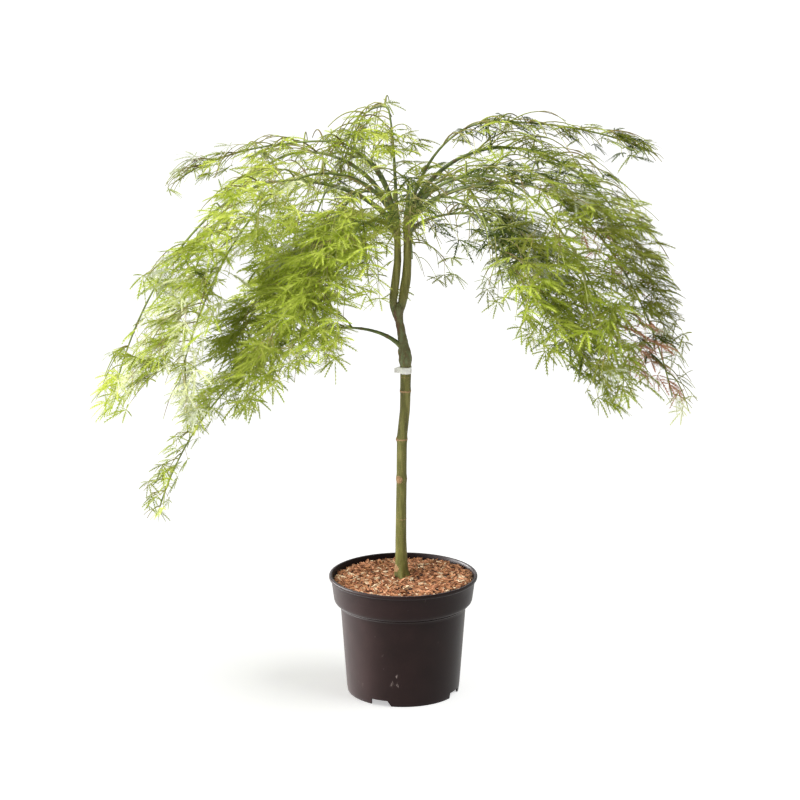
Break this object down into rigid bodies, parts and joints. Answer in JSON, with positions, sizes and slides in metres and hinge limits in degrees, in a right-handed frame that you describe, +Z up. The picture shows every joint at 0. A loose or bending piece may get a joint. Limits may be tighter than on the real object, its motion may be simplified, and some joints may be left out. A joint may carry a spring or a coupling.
{
  "type": "potted weeping laceleaf japanese maple",
  "caption": "Weeping laceleaf Japanese maple grafted on a straight stem, its boughs arching out and down on all sides, in a round black nursery pot with bark mulch.",
  "frame": {"origin": "centre of the pot's flat underside, on the ground", "axes": "+Z up along the stem, +X to the plant's right as seen from its front, -Y to its front"},
  "size_m": [1.0396, 0.7232, 1.0467],
  "materials": {
    "pot_plastic": "matte black-brown recycled plastic, faintly scuffed",
    "bark_mulch": "dry shredded bark chips over compost",
    "stem_bark": "smooth olive-green bark with tan node rings",
    "bough_bark": "smooth dark olive bark",
    "leaf_green": "thin matt leaf, lime to dark green",
    "label_strip": "blank white plastic strip"
  },
  "bodies": {
    "root": {"pot": "pot_plastic", "root_ball": "bark_mulch", "trunk": "stem_bark", "label_band": "label_strip", "left_leader": "stem_bark", "right_leader": "stem_bark", "bough_upper_left": "bough_bark", "bough_outer_left": "bough_bark", "bough_rear_left": "bough_bark", "bough_front_left": "bough_bark", "bough_inner_left": "bough_bark", "bough_low_left": "bough_bark", "bough_back_left": "bough_bark", "bough_near_left": "bough_bark", "bough_peak": "bough_bark", "bough_upper_right": "bough_bark", "bough_outer_right": "bough_bark", "bough_rear_right": "bough_bark", "bough_front_right": "bough_bark", "bough_inner_right": "bough_bark", "bough_back_right": "bough_bark", "bough_back": "bough_bark", "bough_near_right": "bough_bark", "bough_front": "bough_bark", "foliage_upper_left": "leaf_green", "foliage_outer_left": "leaf_green", "foliage_rear_left": "leaf_green", "foliage_front_left": "leaf_green", "foliage_inner_left": "leaf_green", "foliage_low_left": "leaf_green", "foliage_back_left": "leaf_green", "foliage_near_left": "leaf_green", "foliage_peak": "leaf_green", "foliage_upper_right": "leaf_green", "foliage_outer_right": "leaf_green", "foliage_rear_right": "leaf_green", "foliage_front_right": "leaf_green", "foliage_inner_right": "leaf_green", "foliage_back_right": "leaf_green", "foliage_back": "leaf_green", "foliage_near_right": "leaf_green", "foliage_front": "leaf_green"}
  },
  "joints": []
}
